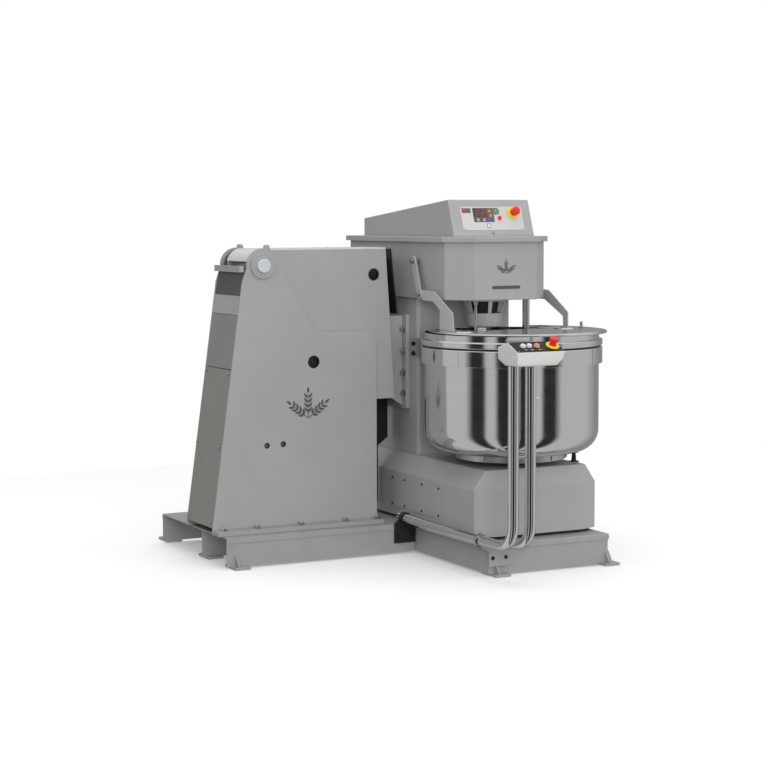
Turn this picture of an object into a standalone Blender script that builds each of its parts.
"""Self-tipping spiral dough mixer: tipping tower, tipping arm, spiral mixer, lid and control stand.

Frame: metres, +X to the machine's right, +Y to its back, +Z up, the floor at Z = 0.
The moving parts are drawn at rest: mixer down on its base, lid closed, control stand upright.
"""
import math

import bmesh
import bpy
from mathutils import Matrix, Vector

# ---------------------------------------------------------------- driving dimensions
GAP = 0.0004                      # clearance between neighbouring solids
SHEET = 0.003                     # casing sheet
PLATE = 0.008                     # structural plate

# floor frame
BASE_TOP = 0.145
RAIL_BOTTOM = 0.010
FOOT_THICK = 0.012
FOOT_SIZE = (0.080, 0.130)
BASE_LEFT, BASE_RIGHT = -0.855, 0.751
BASE_SPLIT_Y, BASE_BACK_Y = 0.065, 0.900
BASE_WEB_Y = 0.370
MIXER_BASE_LEFT, MIXER_BASE_FRONT = 0.110, -0.640

# tipping tower
TOWER_FRONT_Y, TOWER_BACK_Y = 0.191, 0.516
TOWER_RIGHT_X = -0.026
TOWER_SHELF_Z = 1.062             # top edge of the plates' right-hand part
TOWER_CORNER_R = 0.045
TOWER_LEFT_LOW = (-0.877, 0.165)
TOWER_LEFT_HIGH = (-0.722, 1.240)
PIVOT_X, PIVOT_Z = -0.612, 1.377
EAR_R = 0.080
PIN_R = 0.032
BOSS_R = 0.060

# tipping arm and beam
ARM_FRONT_Y, ARM_BACK_Y = 0.2055, 0.440
ARM_TOP_Z, ARM_BOTTOM_Z = 1.455, 0.733
ARM_DRUM_R = ARM_TOP_Z - PIVOT_Z
BEAM_Y = (0.4215, 0.4315)
FLANGE_X = 0.150

# mixer
MIXER_X = 0.427
COLUMN_HALF, COLUMN_FRONT, COLUMN_BACK = 0.256, 0.143, 0.830
HEAD_HALF, HEAD_FRONT, HEAD_BACK = 0.270, -0.253, 0.845
HEAD_CHAMFER = 0.105
HEAD_BOTTOM, HEAD_TOP = 1.212, 1.482
HOOD_TOP_FRONT, HOOD_TOP_BACK = 1.679, 1.594
HOOD_HALF = 0.218
BODY_HALF, BODY_FRONT, BODY_BACK = 0.323, -0.556, 0.845
BODY_BOTTOM, BODY_SHOULDER, BODY_TOP = 0.160, 0.375, 0.459
BODY_CHAMFER = (0.086, 0.035)

# bowl, spiral and lid
BOWL_Y = -0.300
BOWL_R = 0.405
BOWL_BOTTOM, BOWL_RIM = 0.517, 1.000
BOWL_CORNER_R = 0.105
GUARD_R = 0.421
SPIRAL_X, SPIRAL_Y = 0.399, -0.100
SPIRAL_R = 0.140
BREAKER_X, BREAKER_Y = 0.561, -0.210
PROBE_X, PROBE_Y = 0.275, -0.233
LID_Z = 1.068
LID_R = 0.415
LID_CENTRE = (0.464, -0.294)
LID_PIVOT = (0.103, 1.392)        # Y, Z

# control stand
TUBE_R = 0.024
STAND_X, STAND_X2, STAND_Y = 0.050, 0.135, -0.953
STAND_AXIS_Z = 0.172
STAND_BEND_R = 0.110
BOX_BOTTOM = 0.965

COLLECTION = "tipping_spiral_mixer"


# ---------------------------------------------------------------- scene set-up
def clear_scene():
    for old in list(bpy.data.objects):
        bpy.data.objects.remove(old, do_unlink=True)


def new_collection(name):
    made = bpy.data.collections.new(name)
    bpy.context.scene.collection.children.link(made)
    return made


clear_scene()
PARTS = new_collection(COLLECTION)
CUTTERS = new_collection("cutters")


def paint(name, colour, metallic=0.0, roughness=0.5):
    mat = bpy.data.materials.new(name)
    mat.use_nodes = True
    shader = mat.node_tree.nodes["Principled BSDF"]
    shader.inputs["Base Color"].default_value = (*colour, 1.0)
    shader.inputs["Metallic"].default_value = metallic
    shader.inputs["Roughness"].default_value = roughness
    return mat


GREY = paint("grey_paint", (0.34, 0.34, 0.34), 0.0, 0.45)
BEIGE = paint("beige_paint", (0.22, 0.21, 0.19), 0.0, 0.55)
BLACK = paint("black_paint", (0.012, 0.012, 0.012), 0.0, 0.5)
STAINLESS = paint("stainless_steel", (0.62, 0.62, 0.62), 1.0, 0.22)
STEEL = paint("machined_steel", (0.45, 0.45, 0.46), 1.0, 0.35)
IRON = paint("cast_iron", (0.12, 0.12, 0.13), 0.6, 0.6)
RUBBER = paint("rubber", (0.02, 0.02, 0.02), 0.0, 0.8)
PANEL = paint("panel_foil", (0.58, 0.58, 0.58), 0.0, 0.4)
MOTOR = paint("motor_paint", (0.10, 0.16, 0.24), 0.0, 0.5)
RED = paint("red_plastic", (0.75, 0.02, 0.02), 0.0, 0.35)
YELLOW = paint("yellow_plastic", (0.90, 0.65, 0.02), 0.0, 0.4)
GREEN = paint("green_plastic", (0.02, 0.40, 0.10), 0.0, 0.4)
WHITE = paint("white_plastic", (0.75, 0.75, 0.78), 0.0, 0.35)
ORANGE = paint("orange_plastic", (0.80, 0.25, 0.02), 0.0, 0.35)


# ---------------------------------------------------------------- making solids
def finish(obj, mat, smooth=False):
    obj.data.materials.clear()
    obj.data.materials.append(mat)
    if smooth:
        obj.data.shade_smooth()
        obj.data.set_sharp_from_angle(angle=math.radians(35))
    return obj


def object_from_bmesh(name, bm, mat=GREY, smooth=False, matrix=None):
    bmesh.ops.recalc_face_normals(bm, faces=bm.faces)
    mesh = bpy.data.meshes.new(name)
    bm.to_mesh(mesh)
    bm.free()
    obj = bpy.data.objects.new(name, mesh)
    PARTS.objects.link(obj)
    if matrix is not None:
        obj.matrix_world = matrix
    return finish(obj, mat, smooth)


def box(name, low, high, mat=GREY):
    low, high = Vector(low), Vector(high)
    bm = bmesh.new()
    size = high - low
    place = Matrix.Translation((low + high) / 2) @ Matrix.Diagonal((*size, 1.0))
    bmesh.ops.create_cube(bm, size=1.0, matrix=place)
    return object_from_bmesh(name, bm, mat)


AXES = {
    "X": Matrix(((0, 0, 1), (1, 0, 0), (0, 1, 0))).to_4x4(),    # outline in Y, Z
    "Y": Matrix(((1, 0, 0), (0, 0, -1), (0, 1, 0))).to_4x4(),   # outline in X, Z
    "Z": Matrix.Identity(4),                                    # outline in X, Y
}


def outline_plate(name, outlines, low, high, axis="Z", mat=GREY, smooth=False):
    """A flat plate between low and high along axis; further outlines are holes."""
    curve = bpy.data.curves.new(name, "CURVE")
    curve.dimensions = "2D"
    curve.fill_mode = "BOTH"
    curve.extrude = (high - low) / 2
    for outline in outlines:
        spline = curve.splines.new("POLY")
        spline.points.add(len(outline) - 1)
        for point, (u, v) in zip(spline.points, outline):
            point.co = (u, v, 0.0, 1.0)
        spline.use_cyclic_u = True
    guide = bpy.data.objects.new(name, curve)
    PARTS.objects.link(guide)
    middle = (high + low) / 2
    shift = {"X": (middle, 0, 0), "Y": (0, middle, 0), "Z": (0, 0, middle)}[axis]
    guide.matrix_world = Matrix.Translation(shift) @ AXES[axis]
    return mesh_from_curve(guide, mat, smooth)


def mesh_from_curve(guide, mat, smooth=True):
    name = guide.name
    bpy.context.view_layer.update()
    graph = bpy.context.evaluated_depsgraph_get()
    mesh = bpy.data.meshes.new_from_object(guide.evaluated_get(graph))
    place = guide.matrix_world.copy()
    bm = bmesh.new()
    bm.from_mesh(mesh)
    bmesh.ops.remove_doubles(bm, verts=bm.verts, dist=0.00001)
    bm.to_mesh(mesh)
    bm.free()
    bpy.data.objects.remove(guide, do_unlink=True)
    obj = bpy.data.objects.new(name, mesh)
    PARTS.objects.link(obj)
    obj.matrix_world = place
    return finish(obj, mat, smooth)


def tube(name, points, radius, mat=STAINLESS, sides=3):
    """A round bar along the points; sides sets how many flats each quarter gets."""
    curve = bpy.data.curves.new(name, "CURVE")
    curve.dimensions = "3D"
    curve.bevel_depth = radius
    curve.bevel_resolution = sides
    curve.use_fill_caps = True
    spline = curve.splines.new("POLY")
    spline.points.add(len(points) - 1)
    for point, place in zip(spline.points, points):
        point.co = (*place, 1.0)
    guide = bpy.data.objects.new(name, curve)
    PARTS.objects.link(guide)
    return mesh_from_curve(guide, mat)


SPIN = {
    "Z": Matrix.Identity(4),
    "Y": Matrix.Rotation(math.radians(90), 4, "X"),             # local +Z to world -Y
    "X": Matrix.Rotation(math.radians(90), 4, "Y"),             # local +Z to world +X
}


def turned(name, profile, mat=STEEL, centre=(0, 0, 0), axis="Z", steps=32, closed=False, matrix=None):
    """A turned solid; the profile (radius, height) runs down its outer side, top to bottom."""
    mesh = bpy.data.meshes.new(name)
    verts = [(r, 0.0, z) for r, z in profile]
    edges = [(i, i + 1) for i in range(len(verts) - 1)]
    if closed:
        edges.append((len(verts) - 1, 0))
    mesh.from_pydata(verts, edges, [])
    obj = bpy.data.objects.new(name, mesh)
    PARTS.objects.link(obj)
    obj.matrix_world = matrix if matrix is not None else Matrix.Translation(centre) @ SPIN[axis]
    screw = obj.modifiers.new("turn", "SCREW")
    screw.axis = "Z"
    screw.angle = math.tau
    screw.steps = steps
    screw.render_steps = steps
    screw.use_merge_vertices = True
    screw.merge_threshold = 0.0001
    screw.use_normal_calculate = True
    screw.use_smooth_shade = True
    obj.data.materials.append(mat)
    bpy.context.view_layer.update()
    bm = bmesh.new()
    bm.from_object(obj, bpy.context.evaluated_depsgraph_get())
    screw.use_normal_flip = bm.calc_volume(signed=True) < 0
    bm.free()
    return obj


def cylinder(name, radius, low, high, centre, axis="Z", mat=STEEL, steps=24, matrix=None):
    """A plain round bar from low to high along axis, its chamfered ends closed."""
    edge = min(0.0015, radius * 0.2, abs(high - low) * 0.2)
    profile = [(0, high), (radius - edge, high), (radius, high - edge),
               (radius, low + edge), (radius - edge, low), (0, low)]
    return turned(name, profile, mat, centre, axis, steps, matrix=matrix)


def hull_shell(name, points, thickness, mat=GREY, open_side=None):
    """A sheet casing: the hull of the points, open on one side (its outward direction)."""
    bm = bmesh.new()
    for point in points:
        bm.verts.new(point)
    bmesh.ops.convex_hull(bm, input=bm.verts)
    bmesh.ops.dissolve_limit(bm, angle_limit=math.radians(1), verts=bm.verts, edges=bm.edges)
    bmesh.ops.recalc_face_normals(bm, faces=bm.faces)
    if open_side is not None:
        gone = [f for f in bm.faces if f.normal.dot(Vector(open_side)) > 0.999]
        bmesh.ops.delete(bm, geom=gone, context="FACES")
    mesh = bpy.data.meshes.new(name)
    bm.to_mesh(mesh)
    bm.free()
    obj = bpy.data.objects.new(name, mesh)
    PARTS.objects.link(obj)
    finish(obj, mat)
    solid = obj.modifiers.new("sheet", "SOLIDIFY")
    solid.thickness = thickness
    solid.offset = -1.0
    solid.use_even_offset = True
    return obj


def hide_tool(tool):
    if tool.name not in CUTTERS.objects:
        PARTS.objects.unlink(tool)
        CUTTERS.objects.link(tool)
    tool.hide_render = True
    tool.display_type = "WIRE"


def combine(target, tools, operation):
    for tool in tools:
        boolean = target.modifiers.new(tool.name, "BOOLEAN")
        boolean.operation = operation
        boolean.object = tool
        hide_tool(tool)
    return target


def cut(target, *tools):
    return combine(target, tools, "DIFFERENCE")


def weld(target, *tools):
    return combine(target, tools, "UNION")


# ---------------------------------------------------------------- outlines
def arc(centre, radius, start, stop, steps=6):
    """Points on an arc, degrees, both ends included."""
    angles = (math.radians(start + (stop - start) * i / steps) for i in range(steps + 1))
    return [(centre[0] + radius * math.cos(a), centre[1] + radius * math.sin(a)) for a in angles]


def circle(centre, radius, steps=20):
    return arc(centre, radius, 0, 360, steps)[:-1]


def rectangle(x0, x1, y0, y1, corner=0.0):
    if corner == 0.0:
        return [(x0, y0), (x1, y0), (x1, y1), (x0, y1)]
    return (arc((x0 + corner, y0 + corner), corner, 180, 270, 3)
            + arc((x1 - corner, y0 + corner), corner, 270, 360, 3)
            + arc((x1 - corner, y1 - corner), corner, 0, 90, 3)
            + arc((x0 + corner, y1 - corner), corner, 90, 180, 3))


def head_outline(offset):
    """Plan of the head, offset outward: straight sides, chamfered front corners."""
    side = HEAD_HALF + offset
    nose = HEAD_HALF - HEAD_CHAMFER + offset * 0.41
    front = HEAD_FRONT - offset
    shoulder = HEAD_FRONT + HEAD_CHAMFER - offset * 0.41
    back = HEAD_BACK + offset
    return [(MIXER_X - side, back), (MIXER_X - side, shoulder), (MIXER_X - nose, front),
            (MIXER_X + nose, front), (MIXER_X + side, shoulder), (MIXER_X + side, back)]


def loop_outline(big, big_r, small, small_r, steps=14):
    """Outline of a belt or chain run round two circles."""
    (x1, y1), (x2, y2) = big, small
    length = math.hypot(x2 - x1, y2 - y1)
    heading = math.degrees(math.atan2(y2 - y1, x2 - x1))
    wrap = math.degrees(math.acos((big_r - small_r) / length))
    return (arc(big, big_r, heading + wrap, heading + 360 - wrap, steps)
            + arc(small, small_r, heading - wrap, heading + wrap, steps // 2))


def loop(name, big, big_r, small, small_r, thick, low, high, axis, mat):
    slack = 0.0022
    outer = loop_outline(big, big_r + slack + thick, small, small_r + slack + thick)
    inner = loop_outline(big, big_r + slack, small, small_r + slack)
    return outline_plate(name, [outer, inner], low, high, axis, mat)


# ---------------------------------------------------------------- floor frame
def foot(name, x, y):
    """A foot plate by its low X and low Y corner."""
    return box(name, (x, y, 0), (x + FOOT_SIZE[0], y + FOOT_SIZE[1], FOOT_THICK))


def tower_base():
    web = 0.006
    top = BASE_TOP - web
    front, back = BASE_SPLIT_Y, BASE_BACK_Y
    section = [(front, RAIL_BOTTOM), (front, BASE_TOP), (back, BASE_TOP), (back, RAIL_BOTTOM),
               (back - web, RAIL_BOTTOM), (back - web, top), (BASE_WEB_Y + web, top),
               (BASE_WEB_Y + web, RAIL_BOTTOM), (BASE_WEB_Y, RAIL_BOTTOM), (BASE_WEB_Y, top),
               (front + web, top), (front + web, RAIL_BOTTOM)]
    frame = outline_plate("tower_base", [section], BASE_LEFT, BASE_RIGHT, "X")
    left = BASE_LEFT + 0.022
    right = BASE_RIGHT - FOOT_SIZE[0] - 0.010
    spots = [(left, BASE_SPLIT_Y - 0.044), (left, BASE_WEB_Y - 0.020), (left, BASE_BACK_Y - 0.010),
             (right, BASE_WEB_Y - 0.020), (right, BASE_BACK_Y - 0.010)]
    feet = [foot(f"tower_foot_{i}", x, y) for i, (x, y) in enumerate(spots)]
    return weld(frame, *feet)


def mixer_base():
    x0, x1 = MIXER_BASE_LEFT, BASE_RIGHT
    y0, y1 = MIXER_BASE_FRONT, BASE_SPLIT_Y - GAP
    corners = [(x, y, z) for x in (x0, x1) for y in (y0, y1) for z in (RAIL_BOTTOM, BASE_TOP)]
    frame = hull_shell("mixer_base", corners, 0.006, open_side=(0, 0, -1))
    lip_top = BASE_TOP
    lip = box("mixer_base_lip", (x0, y0 - 0.004, lip_top - 0.024), (x1, y0 + 0.003, lip_top - 0.001))
    left = foot("mixer_foot_left", x0 + 0.014, y0 - 0.044)
    right = foot("mixer_foot_right", x1 - 0.040, y0 - 0.034)
    return weld(frame, lip, left, right)


# ---------------------------------------------------------------- tipping tower
def left_edge_x(z, inset=0.0):
    """X of the tower's sloping left edge at height z."""
    (x0, z0), (x1, z1) = TOWER_LEFT_LOW, TOWER_LEFT_HIGH
    return x0 + (x1 - x0) * (z - z0) / (z1 - z0) + inset


def tower_plate(name, front, back):
    pivot = (PIVOT_X, PIVOT_Z)
    right, shelf, r = TOWER_RIGHT_X, TOWER_SHELF_Z, TOWER_CORNER_R
    bottom = BASE_TOP + GAP
    outline = ([(TOWER_LEFT_LOW[0], bottom), (right, bottom)]
               + arc((right - r, shelf - r), r, 0, 90, 6)
               + [(-0.324, shelf), (-0.340, shelf + 0.008), (-0.353, 1.090)]
               + [(-0.553, 1.424)]
               + [(-0.575, PIVOT_Z + EAR_R - 0.003), (-0.577, 1.473), (-0.604, 1.473), (-0.608, 1.457)]
               + arc(pivot, EAR_R, 95, 186, 8)
               + [(left_edge_x(1.300) - 0.002, 1.300)])
    holes = [circle(pivot, BOSS_R - 0.0138), circle((-0.355, 0.923), 0.030),
             circle((-0.597, 0.541), 0.014, 12), circle((-0.515, 0.544), 0.014, 12)]
    return outline_plate(name, [outline, *holes], front, back, "Y")


def tower_covers():
    front, back = TOWER_FRONT_Y + PLATE + GAP, TOWER_BACK_Y - PLATE - GAP

    def cover(name, low, high, proud, mat):
        outline = [(left_edge_x(low, -proud), low), (left_edge_x(low, SHEET), low),
                   (left_edge_x(high, SHEET), high), (left_edge_x(high, -proud), high)]
        return outline_plate(name, [outline], front, back, "Y", mat)

    cover("tower_access_cover", 0.175, 0.900, 0.002, BEIGE)
    cover("tower_upper_cover", 0.900 + GAP, 1.236, 0.0, GREY)
    bar = [(-0.724, 1.348), (-0.7010, 1.348), (-0.7010, 1.376), (-0.724, 1.376)]
    outline_plate("tower_tie_bar", [bar], front, back, "Y")
    box("tower_right_cover", (TOWER_RIGHT_X - SHEET, front, 0.150), (TOWER_RIGHT_X, back, 0.700))


def tower():
    tower_plate("tower_front_plate", TOWER_FRONT_Y, TOWER_FRONT_Y + PLATE)
    tower_plate("tower_back_plate", TOWER_BACK_Y - PLATE, TOWER_BACK_Y)
    box("tower_foot_strip", (-0.8785, 0.105, BASE_TOP + GAP), (-0.030, TOWER_FRONT_Y - GAP, 0.165))
    tower_covers()
    flange, body, bore = BOSS_R, BOSS_R - 0.015, PIN_R + 0.0006
    inner = TOWER_FRONT_Y + PLATE + 0.002

    def bearing(name, outside, inside, way):
        step = inside - way * (PLATE + 0.002) - way * GAP
        profile = [(flange, -outside), (flange, -step), (body, -step), (body, -inside),
                   (bore, -inside), (bore, -outside)]
        if way < 0:
            profile = profile[::-1]
        turned(name, profile, STAINLESS, (PIVOT_X, 0, PIVOT_Z), "Y", 24, closed=True)

    bearing("pivot_bearing_front", TOWER_FRONT_Y - 0.010, inner, 1)
    bearing("pivot_bearing_back", TOWER_BACK_Y + 0.010, TOWER_BACK_Y - PLATE - 0.002, -1)


CHAIN_Y = (0.458, 0.482)
DRIVE_X, DRIVE_Z = -0.556, 0.490
ARM_SPROCKET_R, DRIVE_SPROCKET_R = 0.060, 0.030


def tip_drive():
    """Geared motor in the foot of the tower, with a chain up to the sprocket on the pivot shaft."""
    gearbox = box("tip_gearmotor", (DRIVE_X - 0.075, 0.2055, DRIVE_Z - 0.075),
                  (DRIVE_X + 0.075, 0.400, DRIVE_Z + 0.075), MOTOR)
    motor = cylinder("tip_motor_can", 0.062, -0.190, 0.0, (DRIVE_X + 0.010, 0.300, DRIVE_Z - 0.065), "Z", MOTOR)
    weld(gearbox, motor)
    chain_low, chain_high = CHAIN_Y
    boss = [(DRIVE_SPROCKET_R, -chain_low), (DRIVE_SPROCKET_R, -chain_high), (0, -chain_high)]
    turned("tip_drive_sprocket", [(0, -0.401), (0.014, -0.401), (0.014, -chain_low)] + boss,
           STEEL, (DRIVE_X, 0, DRIVE_Z), "Y", 24)
    loop("tip_chain", (PIVOT_X, PIVOT_Z), ARM_SPROCKET_R, (DRIVE_X, DRIVE_Z), DRIVE_SPROCKET_R,
         0.010, chain_low, chain_high, "Y", IRON)


# ---------------------------------------------------------------- tipping arm
def arm_side(name, front, back):
    outline = ([(0.078, ARM_BOTTOM_Z), (0.053, 1.138), (0.032, ARM_TOP_Z - 0.004), (PIVOT_X, ARM_TOP_Z - 0.004)]
               + arc((PIVOT_X, PIVOT_Z), ARM_DRUM_R - 0.004, 95, 215, 8)[0:]
               + [(-0.100, ARM_BOTTOM_Z)])
    holes = [circle((PIVOT_X, PIVOT_Z), PIN_R + GAP), circle((-0.031, 1.327), 0.030)]
    return outline_plate(name, [outline, *holes], front, back, "Y")


def tipping_arm():
    arm_side("arm_front_plate", ARM_FRONT_Y, ARM_FRONT_Y + PLATE)
    arm_side("arm_back_plate", ARM_BACK_Y - PLATE, ARM_BACK_Y)
    outer, inner = ARM_DRUM_R, ARM_DRUM_R - SHEET
    pivot = (PIVOT_X, PIVOT_Z)
    skin = ([(0.032, ARM_TOP_Z - SHEET), (0.032, ARM_TOP_Z)] + arc(pivot, outer, 90, 165, 8)
            + arc(pivot, inner, 165, 90, 8))
    outline_plate("arm_top_plate", [skin], ARM_FRONT_Y, ARM_BACK_Y, "Y", STAINLESS)
    pin = [(0, -0.168), (PIN_R - 0.003, -0.168), (PIN_R, -0.171), (PIN_R, -CHAIN_Y[0]),
           (ARM_SPROCKET_R, -CHAIN_Y[0]), (ARM_SPROCKET_R, -CHAIN_Y[1]), (PIN_R, -CHAIN_Y[1]),
           (PIN_R, -0.536), (PIN_R - 0.003, -0.539), (0, -0.539)]
    turned("pivot_shaft", pin, STEEL, (PIVOT_X, 0, PIVOT_Z), "Y", 24)
    beam = [(0.080, 0.200), (0.096, 0.200), (0.096, 0.480), (FLANGE_X - GAP, 0.520),
            (FLANGE_X - GAP, 1.400), (0.060, 1.400), (0.060, 0.760)]
    outline_plate("lift_beam", [beam], BEAM_Y[0], BEAM_Y[1], "Y", BLACK)
    flange = rectangle(0.222, 0.500, 0.676, 1.130)
    holes = [circle((0.250, z), 0.007, 10) for z in (0.750, 0.848, 0.952, 1.061)]
    outline_plate("mount_flange", [flange, *holes], FLANGE_X, MIXER_X - COLUMN_HALF - GAP, "X")


# ---------------------------------------------------------------- mixer casing
def column_and_head():
    x0, x1 = MIXER_X - COLUMN_HALF, MIXER_X + COLUMN_HALF
    outer = rectangle(x0, x1, COLUMN_FRONT, COLUMN_BACK, 0.016)
    inner = rectangle(x0 + SHEET, x1 - SHEET, COLUMN_FRONT + SHEET, COLUMN_BACK - SHEET, 0.013)
    outline_plate("column", [outer, inner], BODY_TOP + GAP, HEAD_BOTTOM - GAP)
    outline_plate("head_cover", [head_outline(0.0), head_outline(-SHEET)], HEAD_BOTTOM, HEAD_TOP - GAP)
    shaft = circle((SPIRAL_X, SPIRAL_Y), 0.038)
    motor = circle((MIXER_X, 0.600), 0.022, 12)
    outline_plate("head_plate", [head_outline(-SHEET - GAP), shaft, motor], HEAD_BOTTOM + GAP, HEAD_BOTTOM + 0.009)
    rim = [(x, y, z) for x, y in head_outline(0.017) for z in (HEAD_TOP, HEAD_TOP + 0.025)]
    hull_shell("top_plate", rim, SHEET, open_side=(0, 0, -1))


def hood():
    foot_z = HEAD_TOP + 0.0265
    half = HOOD_HALF
    plan = [(-0.146, foot_z), (-0.085, HOOD_TOP_FRONT), (0.790, HOOD_TOP_BACK), (0.790, foot_z)]
    corners = [(x, y, z) for x in (MIXER_X - half, MIXER_X + half) for y, z in plan]
    return hull_shell("hood", corners, 0.002, open_side=(0, 0, -1))


FACE_LOW = Vector((0, -0.146, HEAD_TOP + 0.0254))
FACE_HIGH = Vector((0, -0.085, HOOD_TOP_FRONT))


def hood_face(x, z, lift=0.0):
    """Frame on the hood's sloping face: local X across, local Z out of the face."""
    share = (z - FACE_LOW.z) / (FACE_HIGH.z - FACE_LOW.z)
    spot = FACE_LOW.lerp(FACE_HIGH, share) + Vector((x, 0, 0))
    up = (FACE_HIGH - FACE_LOW).normalized()
    across = Vector((1, 0, 0))
    out = across.cross(up)
    turn = Matrix((across, up, out)).transposed().to_4x4()
    return Matrix.Translation(spot + out * lift) @ turn


def push_button(name, place, radius, height, mat):
    cylinder(name, radius, -0.0040, 0.0012 + height, (0, 0, 0), mat=mat, steps=16, matrix=place)


def button_hole(host, name, place, radius):
    """A round hole through the sheet that a button slides in."""
    cut(host, cylinder(name, radius + 0.0006, -0.012, 0.012, (0, 0, 0), steps=16, matrix=place))


def mushroom(name, place, mat=RED):
    profile = [(0, 0.043), (0.0205, 0.036), (0.0205, 0.028), (0.015, 0.020), (0.015, 0.0070), (0, 0.0070)]
    turned(name, profile, mat, steps=20, matrix=place)


def collar(name, place):
    profile = [(0.030, 0.0085), (0.030, 0.0012), (0.016, 0.0012), (0.016, 0.0085)]
    turned(name, profile, YELLOW, steps=20, closed=True, matrix=place)


def control_panel(casing):
    place = hood_face(MIXER_X + 0.004, 1.5905, GAP)
    half_wide, half_high = 0.166, 0.058
    plate = rectangle(-half_wide, half_wide, -half_high, half_high, 0.004)
    obj = outline_plate("control_plate", [plate], 0.0, 0.0005, "Z", PANEL)
    obj.matrix_world = place @ obj.matrix_world
    collar("panel_estop_collar", hood_face(0.548, 1.616))
    mushroom("panel_estop_button", hood_face(0.548, 1.616))
    for name, x, z, height, mat in (("start_button", 0.462, 1.624, 0.007, GREEN),
                                    ("stop_button", 0.469, 1.5915, 0.009, RED)):
        spot = hood_face(x, z)
        push_button(name, spot, 0.010, height, mat)
        button_hole(obj, f"{name}_plate_hole", spot, 0.010)
        button_hole(casing, f"{name}_hood_hole", spot, 0.010)


def lower_body():
    half, (cx, cy) = BODY_HALF, BODY_CHAMFER
    plan = [(-half, BODY_BACK), (-half, BODY_FRONT + cy), (-half + cx, BODY_FRONT),
            (half - cx, BODY_FRONT), (half, BODY_FRONT + cy), (half, BODY_BACK)]
    walls = [(MIXER_X + x, y, z) for x, y in plan for z in (BODY_BOTTOM, BODY_SHOULDER)]
    top_half, top_front = 0.266, -0.523
    top = [(MIXER_X + x, y, BODY_TOP) for x in (-top_half, top_half) for y in (top_front, BODY_BACK)]
    body = hull_shell("lower_body", walls + top, 0.004, open_side=(0, 0, -1))
    hole = cylinder("body_hole", 0.0606, BODY_TOP - 0.02, BODY_TOP + 0.02, (MIXER_X, BOWL_Y, 0))
    cut(body, hole)
    face = MIXER_X - BODY_HALF
    cover = rectangle(-0.210, 0.300, 0.200, 0.352, 0.004)
    outline_plate("body_side_cover", [cover], face - 0.0025 - GAP, face - GAP, "X")


# ---------------------------------------------------------------- bowl and guard
def bowl():
    r, c = BOWL_R, BOWL_CORNER_R
    wall = arc((r - c, BOWL_BOTTOM + c), c, 0, -90, 5)
    outer = [(r + 0.005, BOWL_RIM), (r + 0.005, BOWL_RIM - 0.010), (r, BOWL_RIM - 0.012)] + wall
    obj = turned("bowl", outer + [(0, BOWL_BOTTOM)], STAINLESS, (MIXER_X, BOWL_Y, 0), steps=40)
    solid = obj.modifiers.new("sheet", "SOLIDIFY")
    solid.thickness = 0.003
    solid.offset = -1.0
    solid.use_even_offset = True
    ring = [(0.256, 0.5166), (0.256, 0.483), (0.244, 0.483), (0.244, 0.5166)]
    turned("bowl_drive_ring", ring, STEEL, (MIXER_X, BOWL_Y, 0), steps=32, closed=True)
    shaft = [(0, 0.5166), (0.060, 0.5166), (0.060, 0.4895), (0.030, 0.4895), (0.030, 0.2700),
             (0.180, 0.2700), (0.180, 0.2350), (0, 0.2350)]
    turned("bowl_shaft", shaft, IRON, (MIXER_X, BOWL_Y, 0), steps=24)
    bearing = [(0.090, 0.4710), (0.090, BODY_TOP + GAP), (0.060, BODY_TOP + GAP), (0.060, 0.3950),
               (0.0306, 0.3950), (0.0306, 0.4890), (0.050, 0.4890), (0.050, 0.4710)]
    turned("bowl_bearing", bearing, IRON, (MIXER_X, BOWL_Y, 0), steps=24, closed=True)


def guard_ring():
    r = GUARD_R
    band = BOWL_R + 0.0005
    profile = [(r, 1.033), (r, 1.010), (r - 0.004, 1.006), (r, 1.002), (r, 0.928),
               (r - 0.004, 0.928), (r - 0.004, 0.998), (r - 0.008, 1.006), (r - 0.004, 1.014), (r - 0.004, 1.031),
               (band - 0.003, 1.036), (band - 0.003, LID_Z - 0.0006), (band, LID_Z - 0.0006), (band, 1.038)]
    ring = turned("guard_ring", profile, STAINLESS, (MIXER_X, BOWL_Y, 0), steps=40, closed=True)
    left = MIXER_X - COLUMN_HALF
    right = MIXER_X + COLUMN_HALF
    thick = 0.004
    ears = [box("guard_ear_left", (left - GAP - thick, 0.030, 0.935), (left - GAP, 0.215, 1.020), STAINLESS),
            box("guard_ear_right", (right + GAP, 0.030, 0.935), (right + GAP + thick, 0.215, 1.020), STAINLESS)]
    return weld(ring, *ears)


# ---------------------------------------------------------------- spiral, breaker and drives
def spiral_housing():
    top = HEAD_BOTTOM
    profile = [(0.105, top), (0.083, 1.142), (0.083, 1.085), (0.041, 1.085), (0.041, 1.095),
               (0.077, 1.095), (0.077, 1.143), (0.099, top)]
    housing = turned("spiral_housing", profile, STAINLESS, (SPIRAL_X, SPIRAL_Y, 0), steps=24, closed=True)
    window = 0.105
    for i, turn in enumerate((45, -45)):
        tool = box(f"housing_window_{i}", (-0.15, -window / 2, 1.150), (0.15, window / 2, 1.204))
        tool.matrix_world = Matrix.Translation((SPIRAL_X, SPIRAL_Y, 0)) @ Matrix.Rotation(math.radians(turn), 4, "Z")
        cut(housing, tool)


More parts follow.
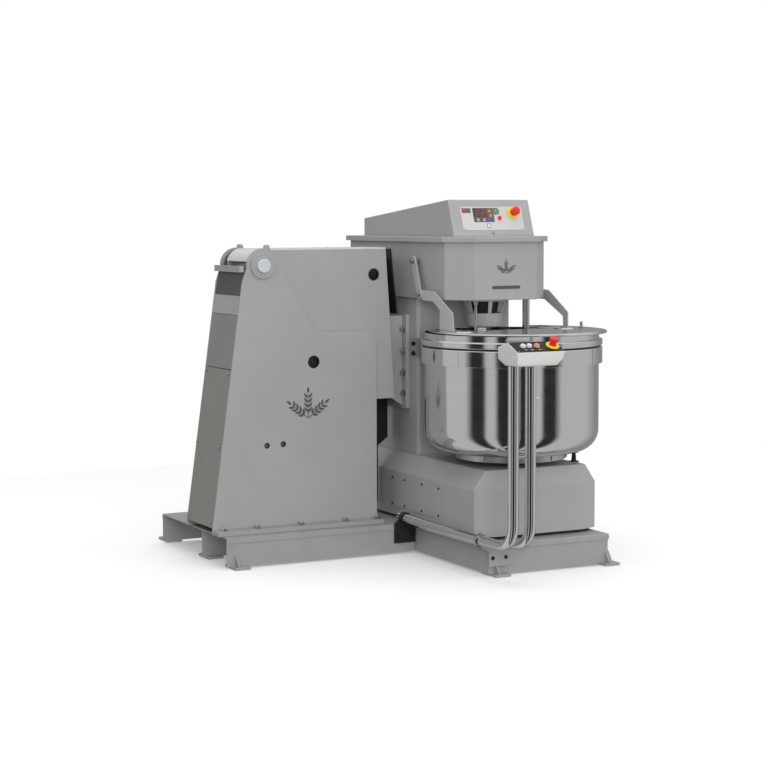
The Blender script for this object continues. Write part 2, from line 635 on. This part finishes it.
def spiral_tool():
    shaft = turned("spiral_tool", [(0, 1.330), (0.028, 1.330), (0.028, 1.240), (0.036, 1.236), (0.036, 1.060),
                                   (0.060, 1.055), (0.060, 1.035), (0, 1.035)],
                   STAINLESS, (SPIRAL_X, SPIRAL_Y, 0), steps=24)
    top, bottom, turns, count = 0.960, 0.605, 1.25, 28
    points = [(SPIRAL_X, SPIRAL_Y, 1.045), (SPIRAL_X, SPIRAL_Y, 1.005)]
    points += [(SPIRAL_X + SPIRAL_R * s, SPIRAL_Y, 1.000 - 0.035 * s * s) for s in (0.25, 0.5, 0.75, 0.92)]
    for i in range(count + 1):
        a = math.tau * turns * i / count
        z = top + (bottom - top) * i / count
        points.append((SPIRAL_X + SPIRAL_R * math.cos(a), SPIRAL_Y + SPIRAL_R * math.sin(a), z))
    rod = tube("spiral_rod", points, 0.021, sides=2)
    return weld(shaft, rod)


def drives():
    pulley_low, pulley_high = 1.262, 1.312
    spiral, motor = (SPIRAL_X, SPIRAL_Y), (MIXER_X, 0.600)
    wheel = [(0.128, pulley_high), (0.128, pulley_low), (0.0286, pulley_low), (0.0286, pulley_high)]
    turned("spiral_pulley", wheel, IRON, (*spiral, 0), steps=24, closed=True)
    small = [(0, pulley_high), (0.045, pulley_high), (0.045, pulley_low), (0.014, pulley_low), (0.014, 1.196), (0, 1.196)]
    turned("spiral_motor_pulley", small, IRON, (*motor, 0), steps=24)
    loop("spiral_belt", spiral, 0.128, motor, 0.045, 0.008, pulley_low + 0.004, pulley_high - 0.004, "Z", RUBBER)
    cylinder("spiral_motor", 0.095, 0.860, 1.195, (*motor, 0), mat=MOTOR, steps=28)
    bowl_axis, bowl_motor = (MIXER_X, BOWL_Y), (MIXER_X, 0.450)
    low = [(0, 0.2838), (0.013, 0.2838), (0.013, 0.270), (0.040, 0.270), (0.040, 0.235), (0, 0.235)]
    turned("bowl_motor_pulley", low, IRON, (*bowl_motor, 0), steps=24)
    loop("bowl_belt", bowl_axis, 0.180, bowl_motor, 0.040, 0.008, 0.238, 0.267, "Z", RUBBER)
    cylinder("bowl_motor", 0.080, 0.2845, 0.4540, (*bowl_motor, 0), mat=MOTOR, steps=28)


def rods():
    low, tip = 0.550, 0.010
    top = HEAD_BOTTOM
    profile = [(0, top), (0.017, top), (0.017, low + tip), (0.010, low), (0, low)]
    turned("breaker_bar", profile, STAINLESS, (BREAKER_X, BREAKER_Y, 0), steps=20)
    cylinder("temperature_probe", 0.006, 0.800, top, (PROBE_X, PROBE_Y, 0), mat=STAINLESS, steps=12)


# ---------------------------------------------------------------- lid
def lid_outline():
    """Round plate with a stepped notch at the back for the head, spiral housing, bar and probe."""
    cx, cy = LID_CENTRE
    left, right, wide_y = 0.128, 0.722, -0.158
    slot_left, slot_right, slot_y = 0.245, 0.610, -0.262

    def on_rim(x):
        return math.degrees(math.acos((x - cx) / LID_R))

    start, stop = on_rim(left), on_rim(right)
    rim = arc((cx, cy), LID_R, start, 360 + stop, 44)
    return rim + [(right, wide_y), (slot_right, wide_y), (slot_right, slot_y),
                  (slot_left, slot_y), (slot_left, wide_y), (left, wide_y)]


def lid():
    ports = [circle((0.690, -0.340), 0.040, 16), circle((0.137, -0.376), 0.038, 16)]
    outline_plate("lid_plate", [lid_outline(), *ports], LID_Z, LID_Z + 0.004, "Z", STAINLESS)
    left_arm = [(0.042, 1.257), (-0.097, 1.252), (-0.271, 1.158), (-0.281, LID_Z + 0.0044),
                (-0.147, LID_Z + 0.0044), (-0.161, 1.162), (-0.083, 1.205), (0.026, 1.208)]
    right_arm = [(0.042, 1.257), (-0.155, 1.251), (-0.326, 1.153), (-0.327, LID_Z + 0.0044),
                 (-0.288, LID_Z + 0.0044), (-0.282, 1.133), (-0.120, 1.205), (0.026, 1.208)]
    pin = (0.046, 1.236)
    for side, outline, low in (("left", left_arm, 0.131), ("right", right_arm, 0.718)):
        arm = outline_plate(f"lid_arm_{side}", [outline], low, low + 0.005, "X", STAINLESS)
        away = Vector((LID_PIVOT[0] - pin[0], LID_PIVOT[1] - pin[1]))
        tilt = math.degrees(math.atan2(away.y, away.x))
        bar = arc(LID_PIVOT, 0.016, tilt - 90, tilt + 90, 6) + arc(pin, 0.016, tilt + 90, tilt + 270, 6)
        link = outline_plate(f"lid_link_{side}", [bar], low + 0.0005, low + 0.0045, "X", STAINLESS)
        head_side = MIXER_X - HEAD_HALF - 0.001 if side == "left" else MIXER_X + HEAD_HALF + 0.001
        far = 0.118 if side == "left" else 0.736
        ends = sorted((head_side, far))
        boss = cylinder(f"lid_boss_{side}", 0.013, ends[0], ends[1], (0, *LID_PIVOT), "X", STAINLESS, 20)
        weld(arm, link, boss)


# ---------------------------------------------------------------- control stand
def stand_mounts():
    axis = (STAND_X, STAND_AXIS_Z)
    saddle = 0.0259
    clamp = ([(0.000, 0.055), (0.109, 0.055), (0.109, 0.147), (0.090, 0.160), (axis[0] + saddle, STAND_AXIS_Z)]
             + arc(axis, saddle, -15, -165, 8)
             + [(axis[0] - saddle, STAND_AXIS_Z), (0.012, 0.160), (0.000, 0.147)])
    outline_plate("stand_rear_clamp", [clamp], BASE_SPLIT_Y - 0.012, BASE_SPLIT_Y - GAP, "Y", BLACK)
    front = MIXER_BASE_FRONT - 0.0045
    saddle_points = arc(axis, saddle - 0.002, -10, -170, 8)
    bracket = ([(0.211, 0.046), (0.211, 0.118), (0.110, 0.140), (0.092, 0.168)] + saddle_points
               + [(0.016, 0.168), (0.020, 0.135), (0.100, 0.046)])
    plate = outline_plate("stand_front_bracket", [bracket], front - 0.008, front, "Y")
    sleeve = [(0.0255, 0.656), (0.0255, -0.095), (0.0208, -0.095), (0.0208, 0.656)]
    guide = turned("stand_sleeve", sleeve, STAINLESS, (STAND_X, 0, STAND_AXIS_Z), "Y", 24, closed=True)
    weld(guide, plate)


def stand_post():
    bend_y, bend_z = STAND_Y + STAND_BEND_R, STAND_AXIS_Z + STAND_BEND_R

    def path(x, start, beyond=0.0):
        bend = arc((bend_y, bend_z), STAND_BEND_R, 270, 180, 8)
        return ([(x, start + beyond, STAND_AXIS_Z)] + [(x, y, z) for y, z in bend]
                + [(x, STAND_Y, BOX_BOTTOM - GAP + beyond)])

    post = tube("stand_post", path(STAND_X, -0.668), TUBE_R)
    second = tube("stand_tube_2", path(STAND_X2, -0.780), TUBE_R)
    bores = [tube(f"stand_bore_{i}", path(x, start, 0.002), TUBE_R - 0.002, sides=1)
             for i, (x, start) in enumerate(((STAND_X, -0.720), (STAND_X2, -0.780)))]
    spigot = cylinder("stand_spigot", 0.0202, 0.300, 0.720, (STAND_X, 0, STAND_AXIS_Z), "Y", STAINLESS)
    ring = cylinder("stand_ring", 0.030, 0.661, 0.677, (STAND_X, 0, STAND_AXIS_Z), "Y", STAINLESS)
    rungs = [box(f"stand_rung_{i}", (STAND_X + 0.012, y - 0.011, z - 0.005), (STAND_X2 - 0.012, y + 0.013, z + 0.007))
             for i, (y, z) in enumerate(((STAND_Y, 0.575), (-0.812, STAND_AXIS_Z)))]
    weld(post, second, spigot, ring, *rungs)
    return cut(post, *bores)


BOX_TOP_FRONT = Vector((0, -1.020, 1.026))
BOX_TOP_BACK = Vector((0, -0.935, 1.065))


def box_top(x, share):
    """Frame on the control box's sloping top: local Z out of it."""
    spot = BOX_TOP_FRONT.lerp(BOX_TOP_BACK, share) + Vector((x, 0, 0))
    back = (BOX_TOP_BACK - BOX_TOP_FRONT).normalized()
    across = Vector((1, 0, 0))
    turn = Matrix((across, back, across.cross(back))).transposed().to_4x4()
    return Matrix.Translation(spot) @ turn


def control_box():
    x0, x1, low = 0.031, 0.267, BOX_BOTTOM
    front, back = BOX_TOP_FRONT, BOX_TOP_BACK
    points = [(x, end.y, end.z) for x in (x0, x1) for end in (front, back)]
    points += [(x0, front.y, low + 0.012), (x0 + 0.006, front.y + 0.008, low), (x0 + 0.004, -0.905, low)]
    points += [(x0, -0.850, low + 0.028), (x0, -0.850, 1.042), (x1 - 0.006, -0.850, 1.042)]
    points += [(x1 - 0.006, y, low + 0.030) for y in (front.y + 0.002, -0.860)]
    points += [(x1 - 0.035, y, low) for y in (front.y + 0.010, -0.900)]
    case = hull_shell("control_box", points, SHEET, PANEL)
    entry = cylinder("cable_entry", 0.009, low - 0.02, low + 0.02, (0.200, -0.950, 0))
    cut(case, entry)
    collar("box_estop_collar", box_top(0.228, 0.50))
    mushroom("box_estop_button", box_top(0.228, 0.50))
    for i, (x, mat) in enumerate(((0.083, WHITE), (0.114, WHITE), (0.152, ORANGE)), 1):
        push_button(f"box_button_{i}", box_top(x, 0.55), 0.011, 0.010, mat)
        button_hole(case, f"box_button_hole_{i}", box_top(x, 0.55), 0.011)


# ---------------------------------------------------------------- build
def build():
    tower_base()
    mixer_base()
    tower()
    tip_drive()
    tipping_arm()
    column_and_head()
    control_panel(hood())
    lower_body()
    bowl()
    guard_ring()
    spiral_housing()
    spiral_tool()
    drives()
    rods()
    lid()
    stand_mounts()
    stand_post()
    control_box()


build()
